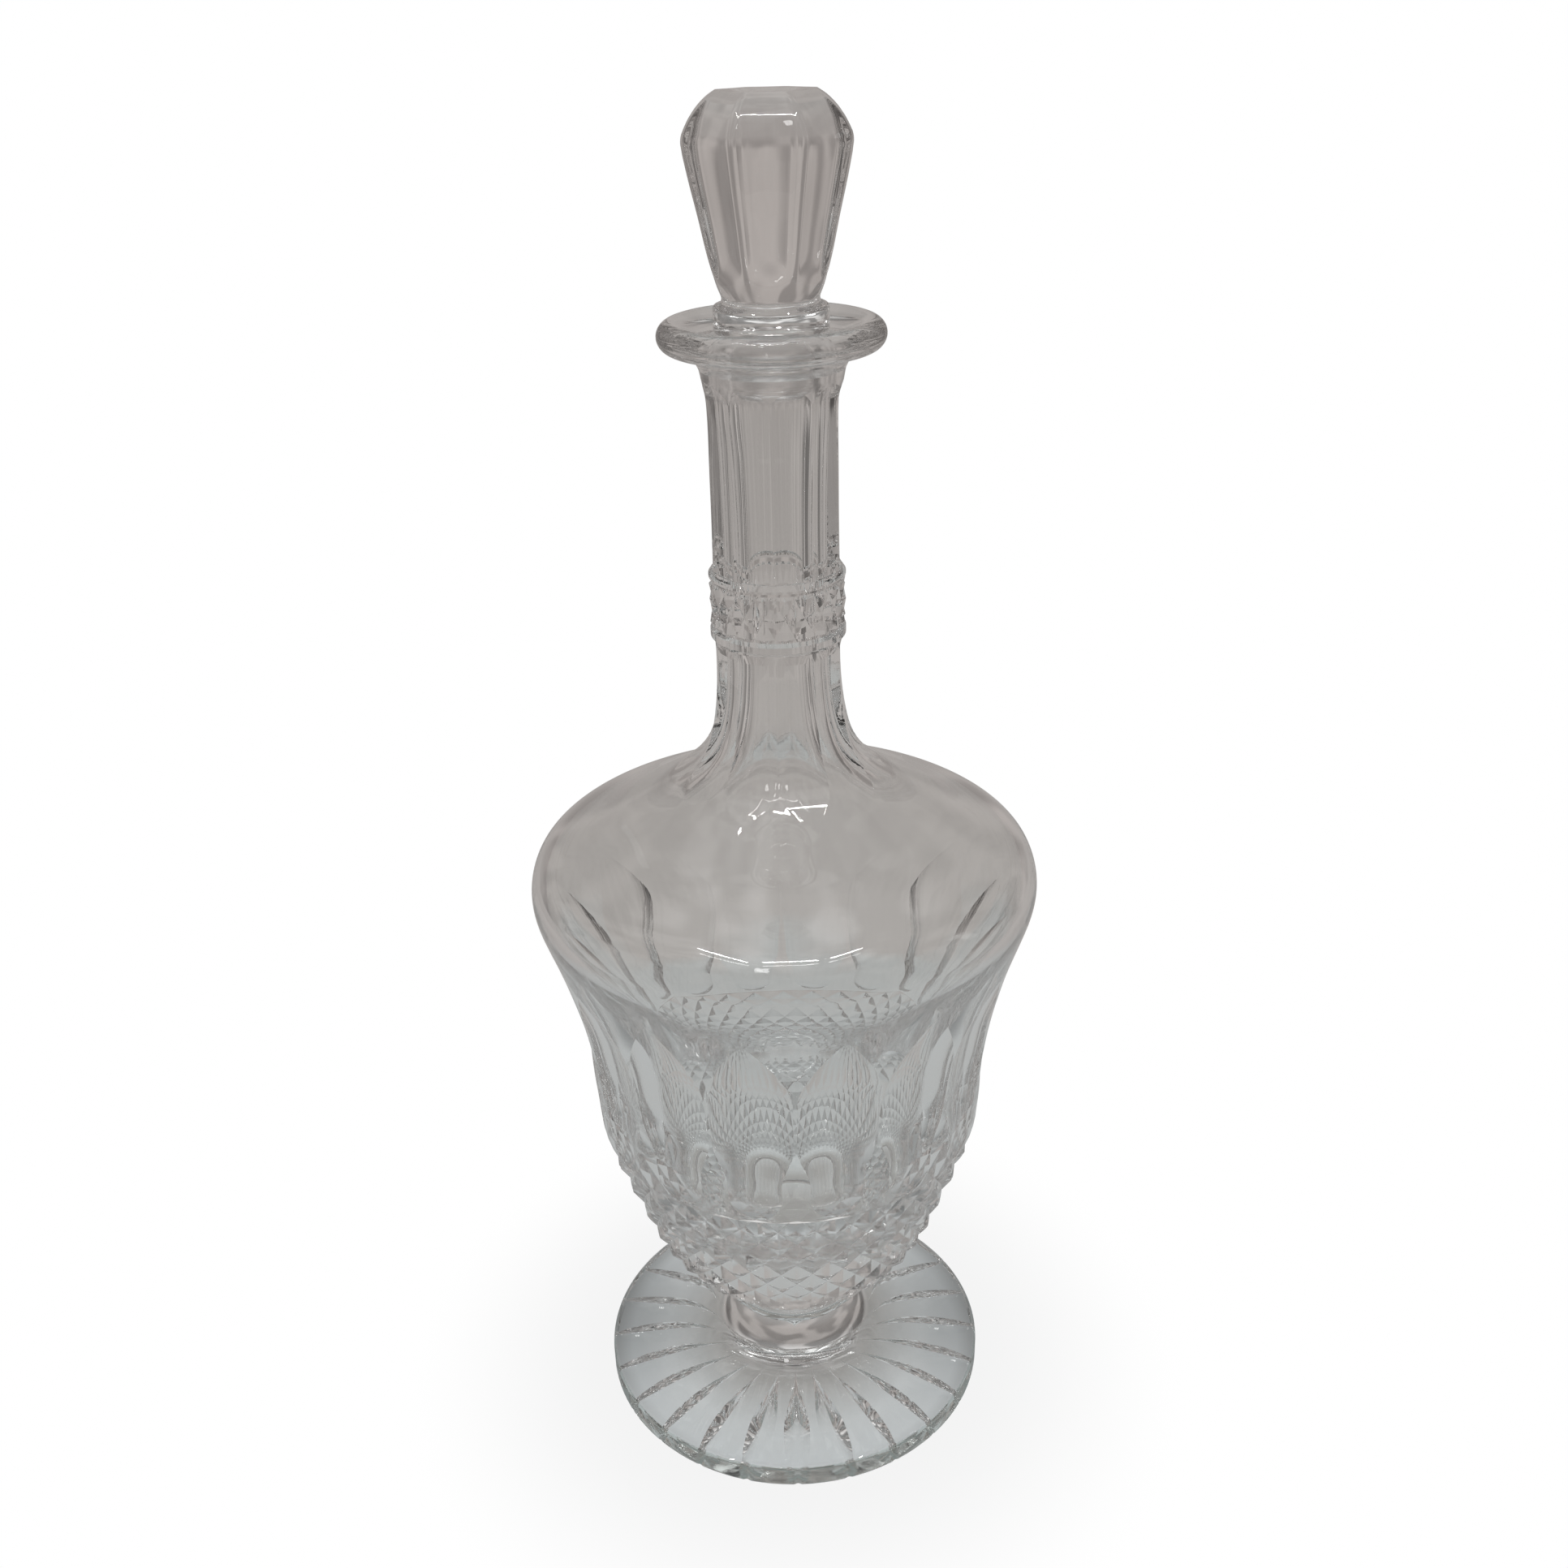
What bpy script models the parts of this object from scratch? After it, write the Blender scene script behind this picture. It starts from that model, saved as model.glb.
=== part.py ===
"""Cut crystal decanter with a ground-in stopper, standing on a star-cut foot.

Metres, +Z up. The origin is the centre of the foot's resting face and the
decanter's axis is the Z axis. Angles around the axis are measured from the
front (-Y) towards +X. Three solids: the foot with its short stem, the blown
bowl with its neck and lip, and the solid stopper that lifts straight out.
Each one is turned: rings of points, bridged from one end to the other, with
the cutting taken out of each ring as it is laid.
"""
import math

import bmesh
import bpy

MM = 0.001

# Heights of the main features, from the resting face.
STEM_TOP = 26.0 * MM
JOINT_GAP = 0.3 * MM
CAVITY_FLOOR = 55.4 * MM
FLUTE_FOOT = 91.5 * MM
FLUTE_FULL = 112.0 * MM
FLUTE_TAPER = 134.0 * MM
FLUTE_TIP = 153.0 * MM
PANEL_FOOT = 193.0 * MM
BORE_FOOT = 226.0 * MM
RING_FOOT = 231.0 * MM
RING_HEAD = 249.0 * MM
NECK_FLARE = 284.0 * MM
PANEL_HEAD = 292.0 * MM
LIP_MIDDLE = 303.6 * MM
SEAT_TOP = 303.7 * MM
HEAD_CUT_FOOT = 311.5 * MM
HEAD_CUT_FULL = 322.0 * MM
GIRDLE = 344.6 * MM
TABLE = 354.4 * MM

# Radii.
FOOT_RADIUS = 55.0 * MM
STEM_RADIUS = 18.4 * MM
NECK_RADIUS = 15.8 * MM
RING_RADIUS = 16.6 * MM
LIP_RADIUS = 26.2 * MM
BORE_RADIUS = 7.8 * MM
MOUTH_RADIUS = 9.6 * MM
FLOOR_RADIUS = 10.0 * MM
COLLAR_RADIUS = 13.2 * MM
GIRDLE_RADIUS = 20.0 * MM

# Edges and thicknesses.
LIP_THICKNESS = 6.8 * MM
FOOT_EDGE = 1.4 * MM
FOOT_RIM_HEIGHT = 7.2 * MM
EDGE = 1.0 * MM
COLLAR_HEIGHT = 6.0 * MM
LIP_DISH = 4.0 * MM

# The ground joint between stopper and neck, whose radius falls by the taper.
SEAT_CLEARANCE = 0.3 * MM
SEAT_TAPER = 0.04
PLUG_END = 291.5 * MM
COLLAR_FOOT = SEAT_TOP + 0.4 * MM

# The cutting.
FLUTES = 16
FLUTE_DEPTH = 2.4 * MM
FLUTE_PHASE = math.radians(1.3)
NECK_PANELS = 10
NECK_PHASE = math.radians(-3.2)
PANEL_RUN_OUT = 8.0 * MM
STOPPER_PANELS = 8
STOPPER_PHASE = math.radians(22.5)
FOOT_RAYS = 24
RAY_DEPTH = 1.6 * MM
RAY_INNER = 15.0 * MM
RAY_WIDEST = 39.0 * MM
RAY_END_LOSS = 0.75
RAY_STEPS = 6
RING_GROOVE = 0.7 * MM

# Points round each ring, a multiple of the cuts it carries.
FOOT_POINTS = FOOT_RAYS * 4
FOOT_TOP_POINTS = FOOT_RAYS * 2
BOWL_POINTS = FLUTES * 4
NECK_POINTS = NECK_PANELS * 4
STOPPER_POINTS = STOPPER_PANELS * 4
SHARP_ANGLE = math.radians(28.0)


def clear_scene():
    for item in list(bpy.data.objects):
        bpy.data.objects.remove(item, do_unlink=True)


def glass(name, colour, roughness):
    """A clear glass with its own slight tint and finish."""
    material = bpy.data.materials.new(name)
    material.use_nodes = True
    shader = material.node_tree.nodes["Principled BSDF"]
    shader.inputs["Base Color"].default_value = (*colour, 1.0)
    shader.inputs["Roughness"].default_value = roughness
    shader.inputs["Metallic"].default_value = 0.0
    shader.inputs["IOR"].default_value = 1.54
    shader.inputs["Transmission Weight"].default_value = 1.0
    return material


def smooth_step(value, low, high):
    """0 at low, 1 at high, with a level start and end."""
    share = min(max((value - low) / (high - low), 0.0), 1.0)
    return share * share * (3.0 - 2.0 * share)


def arc(centre, radius, start, end, count):
    """Points (radius, height) on an arc, its angles in degrees up from outwards."""
    points = []
    for step in range(count):
        angle = math.radians(start + (end - start) * step / (count - 1))
        points.append((centre[0] + radius * math.cos(angle), centre[1] + radius * math.sin(angle)))
    return points


def curve_through(knots, steps):
    """A smooth curve through knots given in millimetres, with some steps in each span."""
    ends = [knots[0]] + knots + [knots[-1]]
    points = []
    for before, start, end, after in zip(ends, ends[1:], ends[2:], ends[3:]):
        for step in range(steps):
            t = step / steps
            point = []
            for a, b, c, d in zip(before, start, end, after):
                linear = (c - a) * t
                square = (2 * a - 5 * b + 4 * c - d) * t ** 2
                cube = (3 * b - a - 3 * c + d) * t ** 3
                point.append((b + 0.5 * (linear + square + cube)) * MM)
            points.append(tuple(point))
    points.append((knots[-1][0] * MM, knots[-1][1] * MM))
    return points


def off_centre(angle, count, phase):
    """How far an angle is from the middle of its sector, one of count whose borders start at phase."""
    sector = math.tau / count
    return (angle - phase) % sector - sector / 2


def uncut(radius, height, angle):
    return radius, height


def polygon_share(angle, count, phase):
    """The distance to a flat of a regular polygon with a corner at phase, as a share of its corner's."""
    return math.cos(math.pi / count) / math.cos(off_centre(angle, count, phase))


def lay_ring(body, radius, height, points, phase, cut):
    """One closed ring of edges around the axis, with the cutting taken out of it."""
    ring = []
    for number in range(points):
        angle = phase + math.tau * number / points
        cut_radius, cut_height = cut(radius, height, angle)
        place = (cut_radius * math.sin(angle), -cut_radius * math.cos(angle), cut_height)
        ring.append(body.verts.new(place))
    return [body.edges.new(pair) for pair in zip(ring, ring[1:] + ring[:1])]


def turned(name, sections, material):
    """A closed body from sections, each an outline with its points, phase and cut."""
    body = bmesh.new()
    rings = []
    for outline, points, phase, cut in sections:
        for radius, height in outline:
            rings.append(lay_ring(body, radius, height, points, phase, cut))
    for ring, following in zip(rings, rings[1:]):
        bmesh.ops.bridge_loops(body, edges=ring + following)
    for end in (rings[0], rings[-1]):
        bmesh.ops.contextual_create(body, geom=end)
    bmesh.ops.recalc_face_normals(body, faces=body.faces)
    bmesh.ops.triangulate(body, faces=body.faces)
    mesh = bpy.data.meshes.new(name)
    body.to_mesh(mesh)
    body.free()
    mesh.shade_smooth()
    mesh.set_sharp_from_angle(angle=SHARP_ANGLE)
    mesh.materials.append(material)
    item = bpy.data.objects.new(name, mesh)
    bpy.context.collection.objects.link(item)
    return item


def cut_rays(radius, height, angle):
    """V-shaped rays under the foot, deepest past midway, that notch the rim."""
    sector = math.tau / FOOT_RAYS
    nearness = max(1 - 4 * abs(off_centre(angle, FOOT_RAYS, sector / 2)) / sector, 0.0)
    reach = max((radius - RAY_WIDEST) / (FOOT_RADIUS - RAY_WIDEST), 0.0)
    depth = RAY_DEPTH * (1 - RAY_END_LOSS * reach ** 2) * smooth_step(radius, RAY_INNER, RAY_WIDEST)
    return radius, height + nearness * depth


def make_foot():
    """The star-cut foot and its short stem, gathered and pressed as one."""
    outer_radius = FOOT_RADIUS - FOOT_EDGE
    step = (outer_radius - RAY_INNER) / RAY_STEPS
    under = [(RAY_INNER + step * number, 0.0) for number in range(RAY_STEPS + 1)]
    under.append((FOOT_RADIUS, FOOT_EDGE))
    edge = arc((outer_radius, FOOT_RIM_HEIGHT - FOOT_EDGE), FOOT_EDGE, 0, 90, 3)
    top = curve_through([(45, 8.6), (37, 10.7), (30, 13.3), (25, 16.1), (21.4, 19.4), (19.2, 23)], 1)
    stem = [(STEM_RADIUS, STEM_TOP - EDGE), (STEM_RADIUS - EDGE, STEM_TOP)]
    sections = [
        (under, FOOT_POINTS, 0.0, cut_rays),
        (edge + top + stem, FOOT_TOP_POINTS, 0.0, uncut),
    ]
    turned("foot", sections, glass("foot_glass", (0.93, 0.96, 0.95), 0.03))


def cut_flutes(radius, height, angle):
    """Hollow flutes side by side round the bowl, with round feet and lancet heads."""
    rise = smooth_step(height, FLUTE_FOOT, FLUTE_FULL)
    taper = 1 - smooth_step(height, FLUTE_TAPER, FLUTE_TIP)
    if rise == 0 or taper == 0:
        return radius, height
    half_width = math.pi / FLUTES * math.sqrt(rise) * taper
    nearness = max(1 - (off_centre(angle, FLUTES, FLUTE_PHASE) / half_width) ** 2, 0.0)
    return radius - FLUTE_DEPTH * taper * nearness, height


def cut_panels(radius, height, angle):
    """Flat panels round the neck, running out on the shoulder and under the lip."""
    strength = smooth_step(height, PANEL_FOOT, PANEL_FOOT + PANEL_RUN_OUT)
    strength *= 1 - smooth_step(height, PANEL_HEAD - PANEL_RUN_OUT / 2, PANEL_HEAD + PANEL_RUN_OUT / 2)
    share = polygon_share(angle, NECK_PANELS, NECK_PHASE)
    return radius * (1 + strength * (share - 1)), height


def bowl_outline():
    """The outside of the bowl, from the disc on the stem to the top of the shoulder."""
    disc = [(STEM_RADIUS - EDGE, STEM_TOP + JOINT_GAP)]
    foot = [(18.6, 28.5), (21.3, 32), (28, 39), (37.8, 50), (45, 67.5)]
    wall = [(51.3, 86), (53.3, 98), (54.4, 112), (56.5, 128), (60.5, 145), (64.4, 157)]
    shoulder = [(66, 164), (63.6, 172), (51, 179.7), (33.5, 189.5)]
    return disc + curve_through(foot, 1) + curve_through(wall, 2) + curve_through(shoulder, 2)


def ring_outline():
    """The raised ring round the neck: two plain edges, two grooves and the crest between them."""
    groove = RING_RADIUS - RING_GROOVE
    radii = [RING_RADIUS, groove, RING_RADIUS, groove, RING_RADIUS]
    spacing = (RING_HEAD - RING_FOOT) / len(radii)
    return [(radius, RING_FOOT + spacing * (number + 0.5)) for number, radius in enumerate(radii)]


def lip_outline():
    """The flared, rounded lip, from the neck round to the seat at the mouth."""
    half = LIP_THICKNESS / 2
    rim = arc((LIP_RADIUS - half, LIP_MIDDLE), half, -75, 95, 7)
    dish = [(COLLAR_RADIUS + LIP_DISH, SEAT_TOP + EDGE), (COLLAR_RADIUS + EDGE, SEAT_TOP)]
    return rim + dish + [(MOUTH_RADIUS + EDGE / 2, SEAT_TOP)]


def bore_outline():
    """The inside: the tapered seat, the neck's bore, the shoulder, the thick wall and the floor."""
    seat_foot = MOUTH_RADIUS - SEAT_TAPER * (SEAT_TOP - PLUG_END)
    seat = [(MOUTH_RADIUS, SEAT_TOP - EDGE), (seat_foot, PLUG_END - 2 * EDGE)]
    bore = [(BORE_RADIUS, RING_HEAD), (BORE_RADIUS, BORE_FOOT)]
    shoulder = [(8.8, 214), (12, 202), (18.5, 193.4), (36.4, 183.1), (51, 175.7), (59.7, 170.9), (62.3, 164)]
    wall = [(60.2, 157), (55.4, 147.3), (51.7, 138.5), (49.1, 128), (47.5, 116), (46, 104), (43.7, 91.5)]
    floor = [(39.6, 78.5), (33, 67.5), (23.6, 60)]
    return seat + bore + curve_through(shoulder + wall + floor, 1) + [(FLOOR_RADIUS, CAVITY_FLOOR)]


def make_bowl_and_neck():
    """The blown body: one gather from the disc on the stem up to the rolled lip."""
    low_neck = curve_through([(23.4, 197), (19.5, 202), (17.3, 209), (15.9, 219)], 1)
    low_neck.append((NECK_RADIUS, RING_FOOT))
    neck = [(NECK_RADIUS, RING_HEAD), (NECK_RADIUS, NECK_FLARE)]
    neck += curve_through([(15.8, 288), (16.2, 292.5), (16.9, 296.2), (18.6, 298.9)], 1)
    sections = [
        (bowl_outline(), BOWL_POINTS, FLUTE_PHASE, cut_flutes),
        (low_neck, NECK_POINTS, NECK_PHASE, cut_panels),
        (ring_outline(), NECK_POINTS, NECK_PHASE, uncut),
        (neck, NECK_POINTS, NECK_PHASE, cut_panels),
        (lip_outline() + bore_outline(), NECK_POINTS, NECK_PHASE, uncut),
    ]
    turned("bowl_and_neck", sections, glass("body_glass", (0.95, 0.96, 0.95), 0.02))


def cut_head(radius, height, angle):
    """Eight flat sides from the waist to the girdle, and eight facets up to the table."""
    strength = smooth_step(height, HEAD_CUT_FOOT, HEAD_CUT_FULL)
    share = polygon_share(angle, STOPPER_PANELS, STOPPER_PHASE)
    return radius * (1 + strength * (share - 1)), height


def make_stopper():
    """The solid stopper: ground plug, collar that rests on the mouth, waist and cut head."""
    plug_radius = MOUTH_RADIUS - SEAT_CLEARANCE
    plug_foot = plug_radius - SEAT_TAPER * (SEAT_TOP - PLUG_END)
    plug = [(plug_foot - EDGE, PLUG_END), (plug_foot, PLUG_END + EDGE), (plug_radius, COLLAR_FOOT)]
    collar_head = COLLAR_FOOT + COLLAR_HEIGHT
    collar = [(COLLAR_RADIUS - EDGE, COLLAR_FOOT), (COLLAR_RADIUS, COLLAR_FOOT + EDGE)]
    collar += [(COLLAR_RADIUS, collar_head - EDGE), (COLLAR_RADIUS - EDGE, collar_head)]
    waist = [(11.3, 310.7), (11.1, 311.5), (11.5, 312.8), (12.8, 315.5)]
    head = curve_through(waist + [(14.3, 319), (16.5, 328.3), (18.6, 337.2)], 1)
    crown = [(GIRDLE_RADIUS, GIRDLE - EDGE), (GIRDLE_RADIUS, GIRDLE + EDGE)]
    crown += curve_through([(17.7, 349.7), (15.9, 351.6), (14, 353.2)], 1) + [(12 * MM, TABLE)]
    sections = [(plug + collar + head + crown, STOPPER_POINTS, STOPPER_PHASE, cut_head)]
    stopper = turned("stopper", sections, glass("stopper_glass", (0.95, 0.94, 0.93), 0.02))
    for vert in stopper.data.vertices:
        vert.co.z -= SEAT_TOP
    stopper.location.z = SEAT_TOP


clear_scene()
make_foot()
make_bowl_and_neck()
make_stopper()
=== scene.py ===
"""Cut crystal decanter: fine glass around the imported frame, a plain studio and the camera."""
import math

import bmesh
import bpy
import numpy as np
from mathutils import Matrix, Vector


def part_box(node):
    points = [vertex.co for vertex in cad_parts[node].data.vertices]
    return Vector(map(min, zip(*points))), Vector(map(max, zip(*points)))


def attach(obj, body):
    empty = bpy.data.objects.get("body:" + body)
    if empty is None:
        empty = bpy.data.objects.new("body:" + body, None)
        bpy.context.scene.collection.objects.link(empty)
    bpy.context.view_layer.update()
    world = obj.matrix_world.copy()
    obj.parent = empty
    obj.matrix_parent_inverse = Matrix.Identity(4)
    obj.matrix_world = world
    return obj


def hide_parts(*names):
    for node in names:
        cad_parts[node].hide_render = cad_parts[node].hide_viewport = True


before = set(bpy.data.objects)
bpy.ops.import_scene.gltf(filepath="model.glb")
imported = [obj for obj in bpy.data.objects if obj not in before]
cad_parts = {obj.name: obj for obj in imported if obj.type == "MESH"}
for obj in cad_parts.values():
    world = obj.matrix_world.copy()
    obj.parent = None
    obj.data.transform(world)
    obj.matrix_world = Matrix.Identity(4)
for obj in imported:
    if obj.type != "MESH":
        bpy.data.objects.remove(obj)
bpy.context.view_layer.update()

MM = 0.001

# Sizes from the frame.
FOOT_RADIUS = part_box("foot")[1].x
BOWL_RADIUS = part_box("bowl_and_neck")[1].y
LIP_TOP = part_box("bowl_and_neck")[1].z
PLUG_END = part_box("stopper")[0].z
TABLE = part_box("stopper")[1].z

# Heights and radii that the frame's boxes don't give. They follow the solids, but the head of the
# neck panels, the girdle, the plug's clearance and the small edges are the fine glass's own.
DIAMOND_FOOT = 39.0 * MM
FLUTE_FOOT = 91.5 * MM
PANEL_FOOT = 193.0 * MM
RING_FOOT = 231.0 * MM
RING_HEAD = 249.0 * MM
SHOULDER_FOOT = 154.0 * MM
SHOULDER_HEAD = 181.0 * MM
PANEL_HEAD = 293.5 * MM
LIP_THICKNESS = 6.8 * MM
LIP_RADIUS = 26.2 * MM
SEAT_TOP = LIP_TOP - 3.3 * MM
NECK_RADIUS = 15.8 * MM
RING_RADIUS = 16.6 * MM
BORE_RADIUS = 7.8 * MM
WALL = 3.7 * MM
MOUTH_RADIUS = 9.6 * MM
MOUTH_EDGE = 0.8 * MM
SEAT_TAPER = 0.04
SEAT_HEAD = SEAT_TOP - 1.2 * MM
SEAT_FOOT = PLUG_END - 1.5 * MM
PLUG_CLEARANCE = 0.12 * MM
PLUG_ROUNDING = 2.2 * MM
FOOT_EDGE = 1.4 * MM
FOOT_RIM_HEIGHT = 7.2 * MM
COLLAR_RADIUS = 13.2 * MM
COLLAR_EDGE = 0.9 * MM
GIRDLE_RADIUS = 19.65 * MM
GIRDLE = 344.6 * MM
GIRDLE_CURVE = 5.0 * MM
HEAD_CUT_FOOT = 311.5 * MM
HEAD_CUT_FULL = 322.0 * MM

# The cutting. A swell is the power that rounds a cut's flanks: 1 leaves a straight V. The least
# width, in radians, keeps the columns of a closed cut apart.
LEAST_WIDTH = 1e-5
FLUTES = 16
FLUTE_PHASE = math.radians(1.3)
FLUTE_DEPTH = 2.4 * MM
LAND_HALF_WIDTH = math.radians(0.45)
FLUTE_ROUND_FOOT = 7.0 * MM
FLUTE_FOOT_SHARE = 0.68
FLUTE_WIDENS = 104.0 * MM
FLUTE_WIDEST = 116.0 * MM
LANCET_FOOT = 132.0 * MM
LANCET_HEIGHT = 21.0 * MM
DIAMONDS = 32
DIAMOND_DEPTH = 1.9 * MM
DIAMOND_ASPECT = 1.15
DIAMOND_SWELL = 0.85
NECK_PANELS = 10
NECK_PHASE = math.radians(-3.2)
PANEL_ROUND_FOOT = 9.0 * MM
PANEL_ROUND_HEAD = 4.0 * MM
RING_DIAMONDS = 20
RING_CUT = 0.9 * MM
RING_GROOVE = 0.8 * MM
RING_BEVEL = 0.1 * MM
FOOT_RAYS = 24
RAY_DEPTH = 1.6 * MM
RAY_SLOPE = 2.3
RAY_SWELL = 1.15
RAY_RIM_LOSS = 0.75
RAY_INNER = 15.0 * MM
RAY_RINGS = 26
STOPPER_PANELS = 8
EDGE_SHARE = 0.16
PANEL_HOLLOW = 0.02

# Points round a ring in each region, multiples of the cuts there, and how the mesh is finished.
FOOT_UNDER_POINTS = FOOT_RAYS * 16
FOOT_TOP_POINTS = FOOT_RAYS * 8
BOWL_POINTS = FLUTES * 16
NECK_POINTS = NECK_PANELS * 24
SHOULDER_POINTS = 192
PLAIN_POINTS = 128
SHARP_ANGLE = math.radians(11.0)
WELD = 0.002 * MM
CRYSTAL_IOR = 1.54

# The camera, found from the object's proportions and ellipses.
CAMERA_PLACE = (0.0, -0.3744, 0.3724)
CAMERA_PITCH = math.radians(25.94)
CAMERA_YAW = math.radians(0.08)
CAMERA_ROLL = math.radians(-1.29)
CAMERA_LENS = 37.26


# ---------------------------------------------------------------- outlines

def smooth_step(value, low, high):
    """From 0 at low to 1 at high, eased at both ends."""
    share = np.clip((value - low) / (high - low), 0.0, 1.0)
    return share * share * (3.0 - 2.0 * share)


def length_along(outline):
    """The length of the outline from its start to each of its points."""
    return np.concatenate([[0.0], np.cumsum(np.linalg.norm(np.diff(outline, axis=0), axis=1))])


def curve_through(knots, steps):
    """A curve of even bending through knots (radius, height) in millimetres; returned in metres."""
    knots = np.array(knots, float)
    reach = length_along(knots)
    gaps = np.diff(reach)
    system = np.eye(len(knots))
    turns = np.zeros_like(knots)
    for at in range(1, len(knots) - 1):
        system[at, at - 1:at + 2] = gaps[at - 1], 2 * (gaps[at - 1] + gaps[at]), gaps[at]
        ahead = (knots[at + 1] - knots[at]) / gaps[at]
        turns[at] = 6 * (ahead - (knots[at] - knots[at - 1]) / gaps[at - 1])
    bends = np.linalg.solve(system, turns)
    places = np.concatenate([np.linspace(a, b, steps, endpoint=False) for a, b in zip(reach, reach[1:])])
    places = np.append(places, reach[-1])
    span = np.clip(np.searchsorted(reach, places, side="right") - 1, 0, len(gaps) - 1)
    gap = gaps[span][:, None]
    after = (places - reach[span])[:, None]
    before = gap - after
    bent = (bends[span] * before ** 3 + bends[span + 1] * after ** 3) / (6 * gap)
    start = (knots[span] / gap - bends[span] * gap / 6) * before
    end = (knots[span + 1] / gap - bends[span + 1] * gap / 6) * after
    return (bent + start + end) * MM


def arc(centre, radius, start, end, count):
    """Points on an arc between two angles in degrees; everything else is in metres."""
    angles = np.radians(np.linspace(start, end, count))
    return np.stack([centre[0] + radius * np.cos(angles), centre[1] + radius * np.sin(angles)], 1)


def normals(outline):
    """Outward unit normals of an outline that climbs with the glass on its left."""
    along = np.gradient(outline, axis=0)
    along /= np.maximum(np.linalg.norm(along, axis=1, keepdims=True), 1e-12)
    return np.stack([along[:, 1], -along[:, 0]], 1)


def at_heights(outline, heights):
    """The outline's points at these heights, for an outline that only climbs."""
    return np.stack([np.interp(heights, outline[:, 1], outline[:, 0]), heights], 1)


# ---------------------------------------------------------------- rings and skins

def ring(radius, height, angles):
    """One ring of points; each of the three may be an array with one value per point."""
    radius, height, angles = np.broadcast_arrays(radius, height, angles)
    return np.stack([radius * np.sin(angles), -radius * np.cos(angles), height], 1)


def even(points, phase=0.0):
    return phase + math.tau * np.arange(points) / points


def plain_rings(outline, points, phase=0.0):
    return [ring(radius, height, even(points, phase)) for radius, height in outline]


def quads_between(low, high, first_low, first_high):
    """Triangles between two rings of equal count, split along the deeper diagonal."""
    count = len(low)
    low_radius = np.hypot(low[:, 0], low[:, 1])
    high_radius = np.hypot(high[:, 0], high[:, 1])
    faces = []
    for here in range(count):
        there = (here + 1) % count
        a, b = first_low + here, first_low + there
        c, d = first_high + there, first_high + here
        if low_radius[here] + high_radius[there] <= low_radius[there] + high_radius[here]:
            faces += [(a, b, c), (a, c, d)]
        else:
            faces += [(a, b, d), (b, c, d)]
    return faces


def zip_between(low, high, first_low, first_high):
    """Triangles between two rings of different counts, walking round both by angle."""
    low_count, high_count = len(low), len(high)
    low_turn = np.unwrap(np.arctan2(low[:, 0], -low[:, 1]))
    high_turn = np.unwrap(np.arctan2(high[:, 0], -high[:, 1]))
    start = int(np.argmin(np.abs(np.angle(np.exp(1j * (high_turn - low_turn[0]))))))
    low_share = (np.append(low_turn, low_turn[0] + math.tau) - low_turn[0]) / math.tau
    turned = np.roll(high_turn, -start)
    turned = np.unwrap(turned)
    high_share = (np.append(turned, turned[0] + math.tau) - turned[0]) / math.tau
    faces = []
    i = j = 0
    while i < low_count or j < high_count:
        a = first_low + i % low_count
        d = first_high + (start + j) % high_count
        if j == high_count or (i < low_count and low_share[i + 1] <= high_share[j + 1]):
            faces.append((a, first_low + (i + 1) % low_count, d))
            i += 1
        else:
            faces.append((a, first_high + (start + j + 1) % high_count, d))
            j += 1
    return faces


def skin(name, rings, materials, bands):
    """A closed mesh through rings from one end to the other.

    Each band (low, high, least radius, greatest radius) takes the next material after the first.
    """
    firsts = np.concatenate([[0], np.cumsum([len(item) for item in rings])]).tolist()
    faces = [tuple(range(len(rings[0]) - 1, -1, -1))]
    for number, (low, high) in enumerate(zip(rings, rings[1:])):
        join = quads_between if len(low) == len(high) else zip_between
        faces += join(low, high, firsts[number], firsts[number + 1])
    faces.append(tuple(range(firsts[-2], firsts[-1])))
    mesh = bpy.data.meshes.new(name)
    mesh.from_pydata(np.concatenate(rings).tolist(), [], faces)
    body = bmesh.new()
    body.from_mesh(mesh)
    bmesh.ops.remove_doubles(body, verts=body.verts, dist=WELD)
    bmesh.ops.dissolve_degenerate(body, edges=body.edges, dist=WELD)
    bmesh.ops.recalc_face_normals(body, faces=body.faces)
    for face in body.faces:
        middle = face.calc_center_median()
        radius = math.hypot(middle.x, middle.y)
        for number, (low, high, least, greatest) in enumerate(bands):
            if low < middle.z < high and least < radius < greatest:
                face.material_index = number + 1
    body.to_mesh(mesh)
    body.free()
    mesh.shade_smooth()
    mesh.set_sharp_from_angle(angle=SHARP_ANGLE)
    for material in materials:
        mesh.materials.append(material)
    piece = bpy.data.objects.new(name, mesh)
    bpy.context.collection.objects.link(piece)
    return piece


# ---------------------------------------------------------------- the cuts

def off_centre(angles, count, phase):
    """How far these angles are from the middle of their own sector."""
    sector = math.tau / count
    return (angles - phase) % sector - sector / 2


def half_to_whole(half_columns, count, phase):
    """All the angles of a ring whose sectors mirror these columns, measured from a sector's middle."""
    half_columns = np.asarray(half_columns)
    sector = math.tau / count
    whole = np.concatenate([-half_columns[::-1], half_columns[1:-1]])
    middles = phase + sector * (np.arange(count) + 0.5)
    return (middles[:, None] + whole[None, :]).ravel()


def rounded_end(distance, reach):
    """The share of its full width that a cut has this far inside its round end."""
    return math.sqrt(max(1 - max(1 - distance / reach, 0) ** 2, 0))


def from_crossed_cuts(column, row):
    """How far points are from the nearest of two crossed sets of cuts, from 0 to a half."""
    one = (column + row) / 2
    other = (column - row) / 2
    return np.minimum(np.abs(one - np.round(one)), np.abs(other - np.round(other)))


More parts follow.
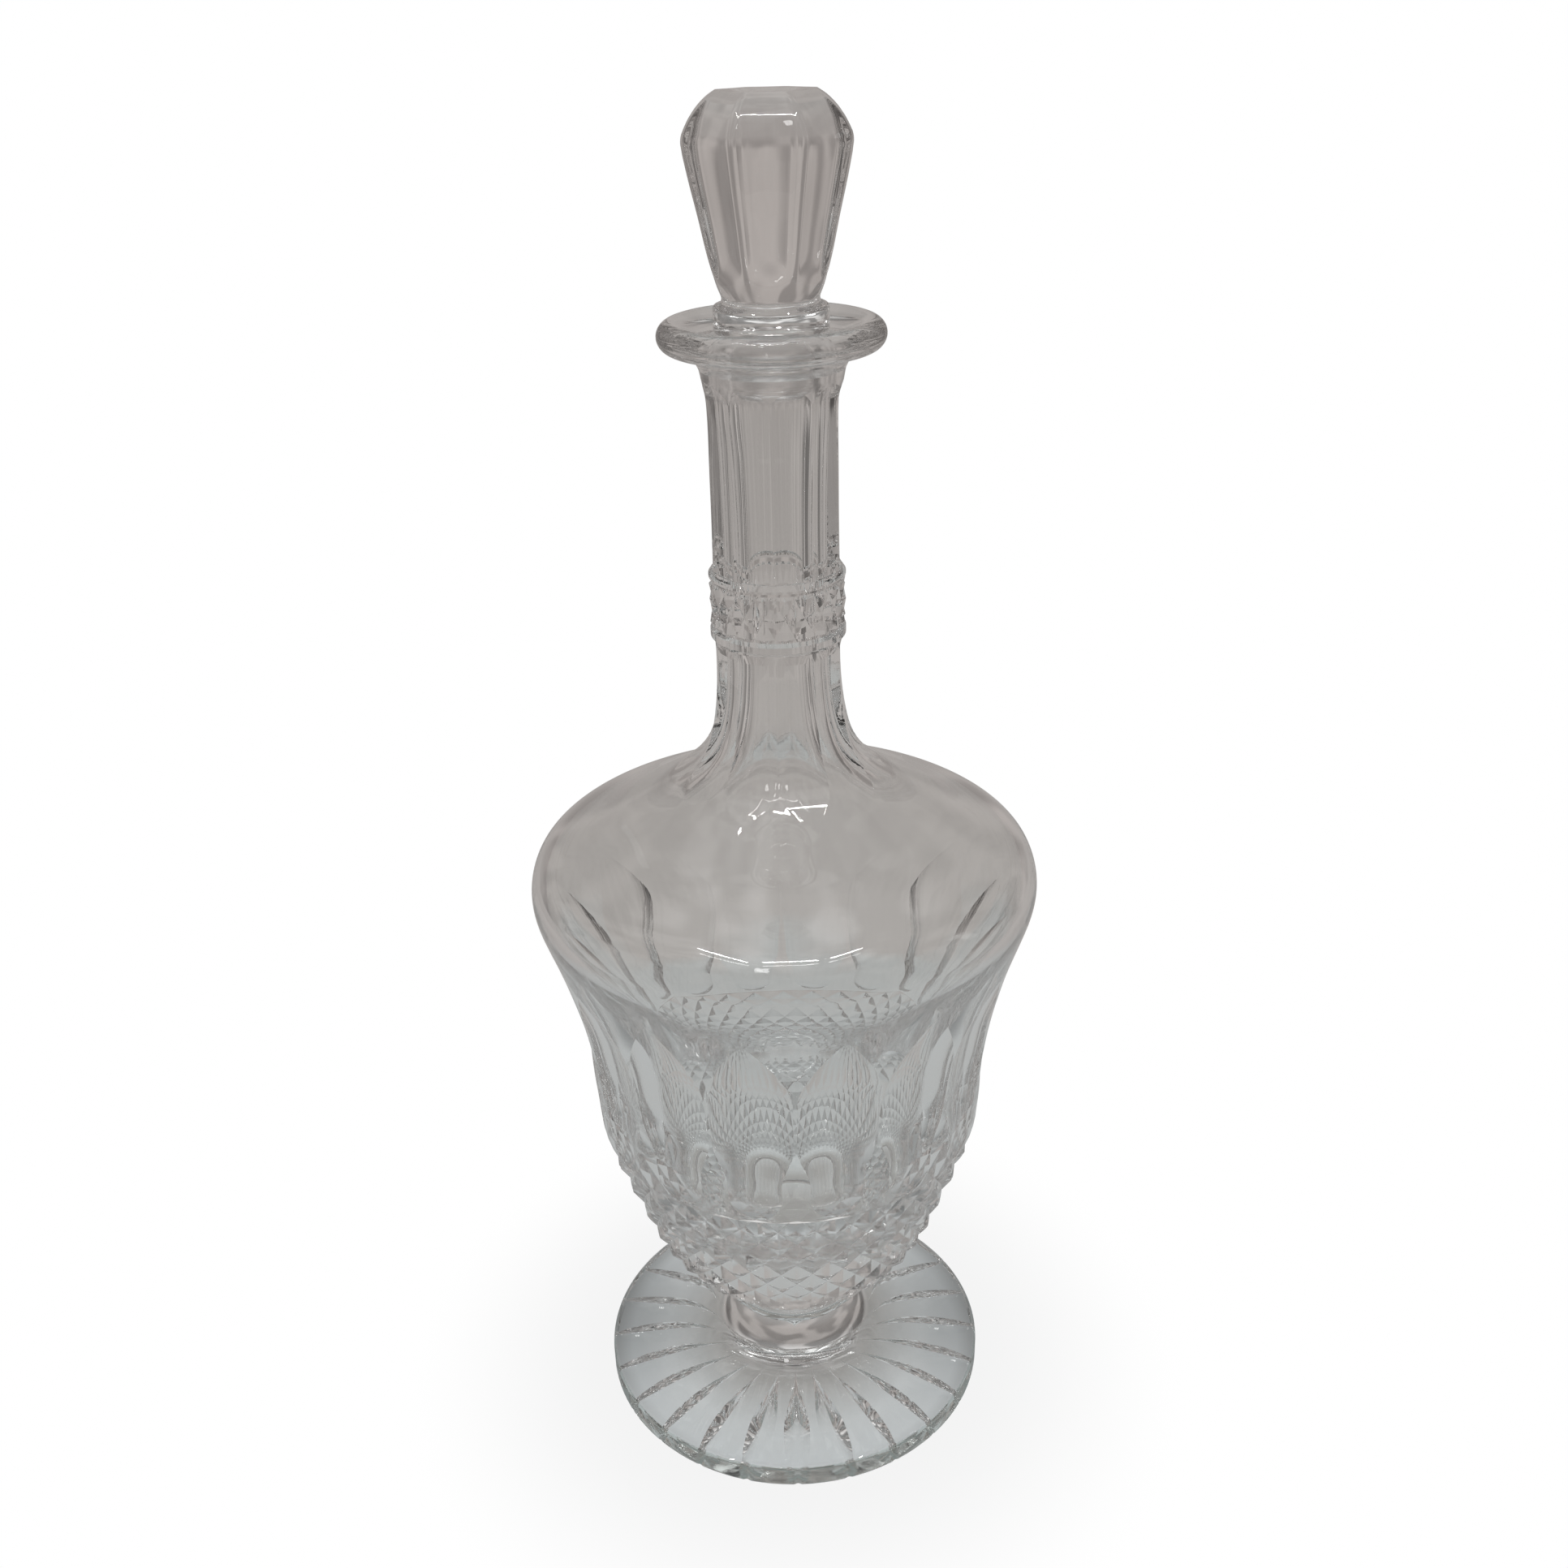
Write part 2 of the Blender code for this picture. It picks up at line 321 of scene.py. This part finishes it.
def ray_rings():
    """The foot's underside: V-shaped rays, narrow at the rim, widest midway, gone before the middle."""
    sector = math.tau / FOOT_RAYS
    widest = 0.4 * RAY_INNER + 0.6 * FOOT_RADIUS
    rings = [ring(RAY_INNER * 0.5, 0.0, even(FOOT_UNDER_POINTS))]
    outer = FOOT_RADIUS - FOOT_EDGE
    radii = list(np.linspace(RAY_INNER, outer, RAY_RINGS)) + [FOOT_RADIUS - 0.4 * FOOT_EDGE, FOOT_RADIUS]
    lifts = [0.0] * RAY_RINGS + [0.4 * FOOT_EDGE, FOOT_EDGE]
    for radius, lift in zip(radii, lifts):
        reach = max((radius - widest) / (FOOT_RADIUS - widest), 0)
        fade = float(smooth_step(radius, RAY_INNER, widest)) * (1 - RAY_RIM_LOSS * reach ** 2.5)
        depth = RAY_DEPTH * fade
        half_width = min(depth * RAY_SLOPE / radius, sector * 0.45)
        cut = np.linspace(0, half_width, 7)
        between = np.linspace(half_width, sector / 2, 3)[1:]
        angles = half_to_whole(np.concatenate([cut, between]), FOOT_RAYS, -sector / 2)
        share = np.abs(off_centre(angles, FOOT_RAYS, -sector / 2)) / max(half_width, LEAST_WIDTH)
        rings.append(ring(radius, lift + depth * np.clip(1 - share ** RAY_SWELL, 0, 1), angles))
    return rings


def foot_rings():
    """The foot from the middle of its underside to the top of its stem."""
    outer = FOOT_RADIUS - FOOT_EDGE
    edge = arc((outer, FOOT_RIM_HEIGHT - FOOT_EDGE), FOOT_EDGE, 0, 84, 8)
    top = [(52.5, 7.35), (45, 8.6), (37, 10.7), (30, 13.3), (25, 16.1), (21.4, 19.4), (19.2, 23)]
    top = curve_through(top + [(18.4, 25.5)], 4)
    return ray_rings() + plain_rings(np.concatenate([edge, top]), FOOT_TOP_POINTS)


def bowl_outline():
    """The bowl's outside from the stem to the foot of the neck ring."""
    foot = [(18.4, 26.5), (18.8, 28.5), (21.3, 32), (28, 39), (37.8, 50), (45, 67.5)]
    wall = [(51.3, 86), (53.3, 98), (54.4, 112), (56.5, 128), (60.5, 145), (64.4, 157)]
    shoulder = [(BOWL_RADIUS / MM - 0.08, 164), (63.6, 172), (51, 179.7), (33.5, 189.5), (23.4, 197)]
    neck = [(19.5, 202), (17.3, 209), (16.0, 219), (NECK_RADIUS / MM, 231)]
    return curve_through(foot + wall + shoulder + neck, 16)


def diamond_rings(outline):
    """Crossed V-cuts that leave four-sided points, smaller towards the stem."""
    spans = length_along(outline)
    top = np.interp(FLUTE_FOOT, outline[:, 1], spans)
    foot = np.interp(DIAMOND_FOOT, outline[:, 1], spans)
    places = [top]
    rings_a_row = 4
    while places[-1] > foot:
        radius = np.interp(places[-1], spans, outline[:, 0])
        places.append(places[-1] - DIAMOND_ASPECT * math.pi * radius / DIAMONDS / rings_a_row)
    places = places[:(len(places) - 1) // rings_a_row * rings_a_row + 1]
    outward = normals(outline)
    angles = even(BOWL_POINTS, FLUTE_PHASE)
    column = (angles - FLUTE_PHASE) / (math.pi / DIAMONDS)
    rings = []
    for number, place in enumerate(places):
        radius = np.interp(place, spans, outline[:, 0])
        height = np.interp(place, spans, outline[:, 1])
        normal = [np.interp(place, spans, outward[:, axis]) for axis in (0, 1)]
        row = number / rings_a_row
        swell = (2 * from_crossed_cuts(column, row)) ** DIAMOND_SWELL
        depth = DIAMOND_DEPTH * radius / outline[:, 0].max() * (1 - swell)
        rings.append(ring(radius - depth * normal[0], height - depth * normal[1], angles))
    return rings[::-1], np.interp(places[-1], spans, outline[:, 1])


def flute_rings(outline):
    """Hollow flutes side by side, with round feet, lancet heads and a thin land between each two."""
    full = math.pi / FLUTES
    widest = full - LAND_HALF_WIDTH
    foot = FLUTE_FOOT + 1.0 * MM
    climb = 1 - np.cos(np.linspace(0, math.pi / 2, 9))
    heights = np.concatenate([
        FLUTE_FOOT + np.array([0.02, 0.9]) * MM, foot + FLUTE_ROUND_FOOT * climb,
        np.linspace(102 * MM, LANCET_FOOT, 13), np.linspace(134 * MM, 153.5 * MM, 22),
    ])
    rings = []
    for radius, height in at_heights(outline, heights):
        rounded = rounded_end(height - foot, FLUTE_ROUND_FOOT)
        widening = float(smooth_step(height, FLUTE_WIDENS, FLUTE_WIDEST))
        spread = FLUTE_FOOT_SHARE + (1 - FLUTE_FOOT_SHARE) * widening
        lancet = 1 - max((height - LANCET_FOOT) / LANCET_HEIGHT, 0) ** 1.5
        half_width = max(widest * rounded * spread * lancet, LEAST_WIDTH)
        depth = FLUTE_DEPTH * (half_width / widest) ** 1.5
        cut = np.linspace(0, half_width, 9)
        between = [(half_width + widest) / 2, widest, full]
        angles = half_to_whole(np.concatenate([cut, between]), FLUTES, FLUTE_PHASE)
        offset = np.abs(off_centre(angles, FLUTES, FLUTE_PHASE))
        hollow = depth * np.clip(1 - (offset / half_width) ** 2, 0, 1)
        rings.append(ring(radius - hollow, height, angles))
    return rings


def panel_rings(outline, share_at):
    """Flat panels round the neck; share_at gives the share of full width that they have at a height."""
    full = math.pi / NECK_PANELS
    rings = []
    for radius, height in outline:
        half_width = max(full * share_at(height), LEAST_WIDTH)
        cut = np.linspace(0, half_width, 11)
        between = np.linspace(half_width, full, 3)[1:]
        angles = half_to_whole(np.concatenate([cut, between]), NECK_PANELS, NECK_PHASE)
        offset = np.abs(off_centre(angles, NECK_PANELS, NECK_PHASE))
        flat = np.cos(half_width) / np.cos(np.minimum(offset, half_width))
        rings.append(ring(radius * flat, height, angles))
    return rings


def ring_rings():
    """The raised ring: a bevel below, one row of crossed cuts, and a bevel above."""
    angles = even(NECK_POINTS, NECK_PHASE)
    groove = RING_RADIUS - RING_GROOVE
    low = RING_FOOT + 4.6 * MM
    high = RING_HEAD - 3.6 * MM
    below = [(NECK_RADIUS - RING_BEVEL, RING_FOOT), (RING_RADIUS, RING_FOOT + 1.2 * MM)]
    below += [(RING_RADIUS, RING_FOOT + 2.8 * MM), (groove, RING_FOOT + 3.7 * MM)]
    above = [(groove, high + 0.8 * MM), (RING_RADIUS, high + 1.7 * MM), (RING_RADIUS, high + 2.3 * MM)]
    above += [(NECK_RADIUS - RING_BEVEL, RING_HEAD)]
    rings = [ring(radius, height, angles) for radius, height in below]
    column = (angles - NECK_PHASE) / (math.pi / RING_DIAMONDS)
    for number in range(13):
        depth = RING_CUT * (1 - 2 * from_crossed_cuts(column, number / 6))
        rings.append(ring(RING_RADIUS - depth, low + (high - low) * number / 12, angles))
    return rings + [ring(radius, height, angles) for radius, height in above]


def upper_neck_outline():
    """From the top of the raised ring to the foot of the lip's flare."""
    straight = [(15.8, 249), (15.7, 262), (15.7, 276), (15.8, 288)]
    return curve_through(straight + [(16.2, 292.5), (16.9, 296.2)], 4)


def lip_outline():
    """Over the flared, rounded lip and its dished top to the mouth."""
    half = LIP_THICKNESS / 2
    middle = LIP_TOP - half
    flare = curve_through([(16.9, 296.2), (18.6, 298.9), (22.6, 300.15)], 5)[1:]
    rim = arc((LIP_RADIUS - half, middle), half, -78, 92, 22)
    dish = curve_through([(22, 306.85), (19, 305.6), (16, 304.4), (13, 303.75), (10.6, 303.6)], 5)
    return np.concatenate([flare, rim, dish])


def bore_outline():
    """Down the ground seat and the bore, and round the inside of the bowl to its floor."""
    seat_foot = MOUTH_RADIUS - SEAT_TAPER * (SEAT_TOP - PLUG_END)
    edge = arc((MOUTH_RADIUS + MOUTH_EDGE, SEAT_TOP - 0.9 * MM), MOUTH_EDGE, 100, 180, 6)
    seat = np.linspace([MOUTH_RADIUS, SEAT_HEAD], [seat_foot, SEAT_FOOT], 6)
    bore = [(seat_foot / MM, 285.5), (8.3, 272), (7.9, 258), (BORE_RADIUS / MM, 244)]
    bore += [(BORE_RADIUS / MM, 226), (8.8, 214), (12, 202), (18.5, 193.4)]
    # Under the shoulder the wall has one thickness; lower down it grows to the cut glass's.
    outside = bowl_outline()
    inner = (outside - WALL * normals(outside)) / MM
    shoulder = inner[(outside[:, 1] > 164.5 * MM) & (outside[:, 1] < 186 * MM)][::8][::-1].tolist()
    wall = [(59.7, 156), (55.4, 147.3), (51.7, 138.5), (49.1, 128), (47.5, 116), (46, 104), (43.7, 91.5)]
    floor = [(39.6, 78.5), (33, 67.5), (23.6, 60), (12, 56), (3, 55.4)]
    inside = curve_through(bore + shoulder + wall + floor, 5)
    straight = inside[:, 1] > 215 * MM
    return np.concatenate([edge, seat, inside[straight][::3], inside[~straight]])


def decanter_rings():
    """Every ring of the foot, bowl and neck, from the middle of the underside to the bowl's floor."""
    outline = bowl_outline()
    climbing = outline[: int(np.argmax(outline[:, 0])) + 1]
    diamonds, diamond_foot = diamond_rings(climbing)
    below = climbing[climbing[:, 1] < diamond_foot - 0.5 * MM]
    rings = foot_rings() + plain_rings(below[::4], BOWL_POINTS, FLUTE_PHASE)
    rings += diamonds + flute_rings(climbing)
    over = outline[(outline[:, 1] > SHOULDER_FOOT) & (outline[:, 1] < PANEL_FOOT)]
    tight = over[:, 1] < SHOULDER_HEAD
    # The tight curve keeps every ring: with fewer, steps show in what is seen through it.
    rings += plain_rings(over[tight], SHOULDER_POINTS, FLUTE_PHASE)
    rings += plain_rings(over[~tight][::3], SHOULDER_POINTS, FLUTE_PHASE)
    low_neck = outline[outline[:, 1] >= PANEL_FOOT][::4]
    rings += panel_rings(low_neck, lambda z: rounded_end(z - PANEL_FOOT, PANEL_ROUND_FOOT))
    rings += ring_rings()
    rings += panel_rings(upper_neck_outline(), lambda z: rounded_end(PANEL_HEAD - z, PANEL_ROUND_HEAD))
    rings += plain_rings(lip_outline(), PLAIN_POINTS)
    return rings + plain_rings(bore_outline(), PLAIN_POINTS)


def head_polygon():
    """The angles and radii of a ring of slightly hollow panels with rounded edges, one unit across."""
    full = math.pi / STOPPER_PANELS
    flat = (1 - EDGE_SHARE) * math.cos(full)
    across = np.linspace(0, flat * math.tan(full), 8)
    hollow = PANEL_HOLLOW * (1 - (across / across[-1]) ** 2)
    panel = np.stack([flat + EDGE_SHARE - hollow, across], 1)
    turn = np.linspace(0, full, 6)[1:]
    corner = (1 - EDGE_SHARE) * np.array([math.cos(full), math.sin(full)])
    edge = corner + EDGE_SHARE * np.stack([np.cos(turn), np.sin(turn)], 1)
    half = np.concatenate([panel, edge])
    columns = np.arctan2(half[:, 1], half[:, 0])
    angles = half_to_whole(columns, STOPPER_PANELS, -full)
    offset = np.abs(off_centre(angles, STOPPER_PANELS, -full))
    return angles, np.interp(offset, columns, np.hypot(half[:, 0], half[:, 1]))


def stopper_rings():
    """The solid stopper, from the end of its plug to the table on its head."""
    plug_radius = MOUTH_RADIUS - PLUG_CLEARANCE
    plug_foot = plug_radius - SEAT_TAPER * (SEAT_TOP - PLUG_END)
    round_foot = arc((plug_foot - PLUG_ROUNDING, PLUG_END + PLUG_ROUNDING), PLUG_ROUNDING, -90, 0, 8)
    plug = [np.array([[1 * MM, PLUG_END]]), round_foot]
    plug.append(np.array([[plug_radius, SEAT_HEAD], [plug_radius, SEAT_TOP + 0.4 * MM]]))
    edge_middle = COLLAR_RADIUS - COLLAR_EDGE
    collar = [arc((edge_middle, SEAT_TOP + 1.3 * MM), COLLAR_EDGE, -90, 0, 6)]
    collar.append(arc((edge_middle, SEAT_TOP + 5.6 * MM), COLLAR_EDGE, 0, 90, 6))
    waist = [(11.3, 310.7), (11.1, 311.5), (11.5, 312.8), (12.7, 315.4)]
    head = curve_through(waist + [(14.0, 319), (16.2, 328.3), (18.3, 337.2), (19.35, 342.2)], 5)
    girdle = arc((GIRDLE_RADIUS - GIRDLE_CURVE, GIRDLE), GIRDLE_CURVE, -13, 20, 7)
    crown = [(18.7, 347.6), (17.4, 349.7), (15.7, 351.6), (13.8, 353.2), (11.8, TABLE / MM)]
    crown = curve_through(crown, 5)
    outline = np.concatenate(plug + collar + [head, girdle, crown])
    angles, polygon = head_polygon()
    rings = []
    for radius, height in outline:
        share = float(smooth_step(height, HEAD_CUT_FOOT, HEAD_CUT_FULL))
        rings.append(ring(radius * (1 + (polygon - 1) * share), height, angles))
    return rings


# ---------------------------------------------------------------- materials

def glass(name, tint, roughness, smudge, grain, drawn=1.0, wave=0.03):
    """Polished lead crystal: clear, with faint smudges and shallow waves, drawn out along Z below 1."""
    material = bpy.data.materials.new(name)
    material.use_nodes = True
    nodes = material.node_tree.nodes
    links = material.node_tree.links
    shader = nodes["Principled BSDF"]
    shader.inputs["Base Color"].default_value = (*tint, 1.0)
    shader.inputs["IOR"].default_value = CRYSTAL_IOR
    shader.inputs["Transmission Weight"].default_value = 1.0
    place = nodes.new("ShaderNodeTexCoord")
    film = nodes.new("ShaderNodeTexNoise")
    film.inputs["Scale"].default_value = smudge
    film.inputs["Detail"].default_value = 5.0
    levels = nodes.new("ShaderNodeMapRange")
    levels.inputs["From Min"].default_value = 0.45
    levels.inputs["From Max"].default_value = 0.8
    levels.inputs["To Min"].default_value = roughness
    levels.inputs["To Max"].default_value = roughness + 0.05
    waves = nodes.new("ShaderNodeTexNoise")
    waves.inputs["Scale"].default_value = grain
    waves.inputs["Detail"].default_value = 2.0
    bump = nodes.new("ShaderNodeBump")
    bump.inputs["Strength"].default_value = wave
    bump.inputs["Distance"].default_value = 0.2 * MM
    links.new(place.outputs["Object"], film.inputs["Vector"])
    stretch = nodes.new("ShaderNodeMapping")
    stretch.inputs["Scale"].default_value = (1.0, 1.0, drawn)
    links.new(place.outputs["Object"], stretch.inputs["Vector"])
    links.new(stretch.outputs["Vector"], waves.inputs["Vector"])
    links.new(film.outputs["Fac"], levels.inputs["Value"])
    links.new(levels.outputs["Result"], shader.inputs["Roughness"])
    links.new(waves.outputs["Fac"], bump.inputs["Height"])
    links.new(bump.outputs["Normal"], shader.inputs["Normal"])
    return material


# ---------------------------------------------------------------- the studio

def math_node(nodes, links, operation, first, second):
    """A maths node on two values, each a socket or a number."""
    node = nodes.new("ShaderNodeMath")
    node.operation = operation
    for socket, value in zip(node.inputs, (first, second)):
        if isinstance(value, (int, float)):
            socket.default_value = value
        else:
            links.new(value, socket)
    return node.outputs[0]


def range_node(nodes, links, value, start, end, low, high):
    """Values from start to end eased into low to high."""
    node = nodes.new("ShaderNodeMapRange")
    node.interpolation_type = "SMOOTHSTEP"
    for name, number in (("From Min", start), ("From Max", end), ("To Min", low), ("To Max", high)):
        node.inputs[name].default_value = number
    links.new(value, node.inputs["Value"])
    return node.outputs["Result"]


def ramp_node(nodes, links, value, stops):
    """A colour from stops of (place, colour), for a value from 0 to 1."""
    node = nodes.new("ShaderNodeValToRGB")
    for number, (place, colour) in enumerate(stops):
        stop = node.color_ramp.elements[number] if number < 2 else node.color_ramp.elements.new(place)
        stop.position = place
        stop.color = (*colour, 1.0)
    links.new(value, node.inputs["Fac"])
    return node.outputs["Color"]


def distance_node(nodes, links, place, point):
    """How far a place is from this point."""
    node = nodes.new("ShaderNodeVectorMath")
    node.operation = "DISTANCE"
    node.inputs[1].default_value = point
    links.new(place, node.inputs[0])
    return node.outputs["Value"]


def make_floor():
    """A pale round floor: white to the camera with a painted shadow round the foot; to light that the
    glass bends, a glowing grey-green table with painted light and shade.
    """
    under = (0, 0, -0.05 * MM)
    bpy.ops.mesh.primitive_circle_add(vertices=96, radius=0.6, fill_type="NGON", location=under)
    floor = bpy.context.object
    floor.name = "floor"
    material = bpy.data.materials.new("floor")
    material.use_nodes = True
    nodes = material.node_tree.nodes
    links = material.node_tree.links
    nodes.clear()
    place = nodes.new("ShaderNodeTexCoord").outputs["Object"]
    reach = distance_node(nodes, links, place, (0, 0, 0))
    # The colours run outwards from the axis, to the last one half a metre out. The dark under the stem
    # and in a ring just outside the foot is painted shadow; the lighter ring under the foot between them
    # is painted light.
    table = ramp_node(nodes, links, math_node(nodes, links, "MULTIPLY", reach, 2.0), [
        (0.0, (0.32, 0.31, 0.30)), (0.04, (0.33, 0.325, 0.315)), (0.075, (0.52, 0.54, 0.545)),
        (0.098, (0.52, 0.545, 0.555)), (0.114, (0.30, 0.31, 0.31)),
        (0.15, (0.32, 0.33, 0.33)), (0.22, (0.46, 0.475, 0.475)), (0.40, (0.45, 0.455, 0.45)),
        (0.48, (0.43, 0.405, 0.39)), (1.0, (0.42, 0.395, 0.38)),
    ])
    # Painted shade: two darker patches on the glowing table, to the left and right of the foot.
    left, right = [
        range_node(nodes, links, distance_node(nodes, links, place, spot), 0.0, size, 0.50, 1.0)
        for spot, size in (((-0.06, 0.01, 0), 0.05), ((0.065, 0.01, 0), 0.06))
    ]
    shade = math_node(nodes, links, "MULTIPLY", left, right)
    path = nodes.new("ShaderNodeLightPath")
    # Painted shadow: the white floor that the camera sees darkens to nine tenths towards the foot.
    seen = nodes.new("ShaderNodeEmission")
    links.new(range_node(nodes, links, reach, 0.05, 0.12, 0.90, 1.0), seen.inputs["Strength"])
    seen.inputs["Color"].default_value = (1, 1, 1, 1)
    bent = nodes.new("ShaderNodeEmission")
    links.new(table, bent.inputs["Color"])
    links.new(shade, bent.inputs["Strength"])
    mix = nodes.new("ShaderNodeMixShader")
    out = nodes.new("ShaderNodeOutputMaterial")
    links.new(path.outputs["Is Camera Ray"], mix.inputs["Fac"])
    links.new(bent.outputs[0], mix.inputs[1])
    links.new(seen.outputs[0], mix.inputs[2])
    links.new(mix.outputs[0], out.inputs["Surface"])
    floor.data.materials.append(material)


def make_world():
    """White behind the object; a taupe room with dark sides for light that the glass bends."""
    world = bpy.data.worlds.new("studio")
    bpy.context.scene.world = world
    world.use_nodes = True
    nodes = world.node_tree.nodes
    links = world.node_tree.links
    nodes.clear()
    way = nodes.new("ShaderNodeTexCoord").outputs["Generated"]
    split = nodes.new("ShaderNodeSeparateXYZ")
    links.new(way, split.inputs[0])
    level = math_node(nodes, links, "MULTIPLY_ADD", split.outputs["Z"], 0.5)
    level.node.inputs[2].default_value = 0.5
    colour = ramp_node(nodes, links, level, [
        (0.0, (0.46, 0.46, 0.45)), (0.32, (0.42, 0.395, 0.38)), (0.45, (0.40, 0.37, 0.355)),
        (0.60, (0.36, 0.33, 0.315)), (0.85, (0.30, 0.28, 0.27)), (1.0, (0.85, 0.85, 0.85)),
    ])
    sideways = math_node(nodes, links, "ABSOLUTE", split.outputs["X"], 0)
    sides = range_node(nodes, links, sideways, 0.35, 0.95, 1.0, 0.82)
    front = range_node(nodes, links, split.outputs["Y"], -0.9, -0.1, 0.45, 1.0)
    stretch = nodes.new("ShaderNodeMapping")
    stretch.inputs["Scale"].default_value = (1.0, 1.0, 0.35)
    links.new(way, stretch.inputs["Vector"])
    patches = nodes.new("ShaderNodeTexNoise")
    patches.inputs["Scale"].default_value = 5.0
    patches.inputs["Detail"].default_value = 1.0
    links.new(stretch.outputs["Vector"], patches.inputs["Vector"])
    blotch = range_node(nodes, links, patches.outputs["Fac"], 0.42, 0.60, 0.42, 1.45)
    behind = range_node(nodes, links, split.outputs["Y"], 0.35, 0.85, 0.0, 0.85)
    lower = range_node(nodes, links, split.outputs["Z"], -0.22, 0.05, 1.0, 0.65)
    behind = math_node(nodes, links, "MULTIPLY", behind, lower)
    even_out = nodes.new("ShaderNodeMix")
    links.new(behind, even_out.inputs[0])
    links.new(blotch, even_out.inputs[2])
    even_out.inputs[3].default_value = 1.0
    strength = math_node(nodes, links, "MULTIPLY", sides, front)
    strength = math_node(nodes, links, "MULTIPLY", strength, even_out.outputs[0])
    room = nodes.new("ShaderNodeBackground")
    links.new(colour, room.inputs["Color"])
    links.new(strength, room.inputs["Strength"])
    white = nodes.new("ShaderNodeBackground")
    white.inputs["Color"].default_value = (1, 1, 1, 1)
    path = nodes.new("ShaderNodeLightPath")
    mix = nodes.new("ShaderNodeMixShader")
    out = nodes.new("ShaderNodeOutputWorld")
    links.new(path.outputs["Is Camera Ray"], mix.inputs["Fac"])
    links.new(room.outputs[0], mix.inputs[1])
    links.new(white.outputs[0], mix.inputs[2])
    links.new(mix.outputs[0], out.inputs["Surface"])


def soft_light(name, place, size, power):
    """A rectangular lamp aimed at the middle of the decanter."""
    lamp = bpy.data.lights.new(name, "AREA")
    lamp.shape = "RECTANGLE"
    lamp.size, lamp.size_y = size
    lamp.energy = power
    item = bpy.data.objects.new(name, lamp)
    item.location = place
    aim = Vector((0, 0, 0.18)) - Vector(place)
    item.rotation_euler = aim.to_track_quat("-Z", "Y").to_euler()
    bpy.context.collection.objects.link(item)


def make_camera():
    """A camera at the photo's angle, a little tilted as the photo is."""
    forward = Vector((
        math.sin(CAMERA_YAW) * math.cos(CAMERA_PITCH),
        math.cos(CAMERA_YAW) * math.cos(CAMERA_PITCH),
        -math.sin(CAMERA_PITCH),
    ))
    level = Vector((math.cos(CAMERA_YAW), -math.sin(CAMERA_YAW), 0))
    down = forward.cross(level)
    right = level * math.cos(CAMERA_ROLL) - down * math.sin(CAMERA_ROLL)
    under = level * math.sin(CAMERA_ROLL) + down * math.cos(CAMERA_ROLL)
    data = bpy.data.cameras.new("camera")
    data.lens = CAMERA_LENS
    data.sensor_width = 36.0
    data.clip_start = 0.01
    camera = bpy.data.objects.new("camera", data)
    turn = Matrix((right, -under, -forward)).transposed()
    camera.matrix_world = Matrix.Translation(CAMERA_PLACE) @ turn.to_4x4()
    bpy.context.collection.objects.link(camera)
    bpy.context.scene.camera = camera


# ---------------------------------------------------------------- the pieces

crystal = glass("cut_crystal", (0.985, 0.99, 0.985), 0.0, 38.0, 90.0)
ground = glass("ground_seat", (0.99, 0.99, 0.99), 0.16, 300.0, 1400.0)
cut_face = glass("cut_faces", (0.98, 0.985, 0.98), 0.05, 120.0, 220.0)
rim = glass("foot_edge", (0.66, 0.73, 0.70), 0.04, 60.0, 120.0)
neck = glass("drawn_neck", (0.985, 0.985, 0.98), 0.0, 38.0, 420.0, drawn=0.03, wave=0.16)
seat_band = (PLUG_END - 1.6 * MM, SEAT_HEAD, 0.0, MOUTH_RADIUS + 0.2 * MM)
diamond_band = (DIAMOND_FOOT, FLUTE_FOOT, 20.0 * MM, BOWL_RADIUS)
rim_band = (0.2 * MM, FOOT_RIM_HEIGHT - 0.3 * MM, FOOT_RADIUS - 0.8 * MM, FOOT_RADIUS + 0.1 * MM)
neck_band = (PANEL_FOOT, PLUG_END - 1.6 * MM, 0.0, NECK_RADIUS + 8.0 * MM)
bands = [seat_band, diamond_band, rim_band, neck_band]
decanter = skin("decanter_glass", decanter_rings(), [crystal, ground, cut_face, rim, neck], bands)
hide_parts("foot", "bowl_and_neck")
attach(decanter, "decanter")

stopper_crystal = glass("stopper_crystal", (0.95, 0.943, 0.937), 0.0, 45.0, 90.0)
ground_plug = glass("ground_plug", (0.99, 0.99, 0.99), 0.16, 300.0, 1400.0)
plug_band = (PLUG_END + PLUG_ROUNDING, SEAT_TOP - 1.0 * MM, 0.0, MOUTH_RADIUS)
stopper = skin("stopper_glass", stopper_rings(), [stopper_crystal, ground_plug], [plug_band])
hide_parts("stopper")
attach(stopper, "stopper")

make_floor()
make_world()
soft_light("window", (-0.25, -0.95, 1.7), (0.14, 0.16), 0.5)
soft_light("side_card", (1.3, -0.1, 0.7), (0.12, 0.5), 0.16)
soft_light("left_tube", (-0.62, -0.35, 2.3), (0.8, 0.03), 4.0)
soft_light("right_tube", (0.60, -0.35, 2.3), (0.5, 0.03), 2.6)
soft_light("middle_tube", (0.05, -0.62, 2.2), (0.6, 0.05), 3.8)
make_camera()

scene = bpy.context.scene
scene.view_settings.view_transform = "Standard"
scene.cycles.max_bounces = 32
scene.cycles.transmission_bounces = 32
scene.cycles.glossy_bounces = 16
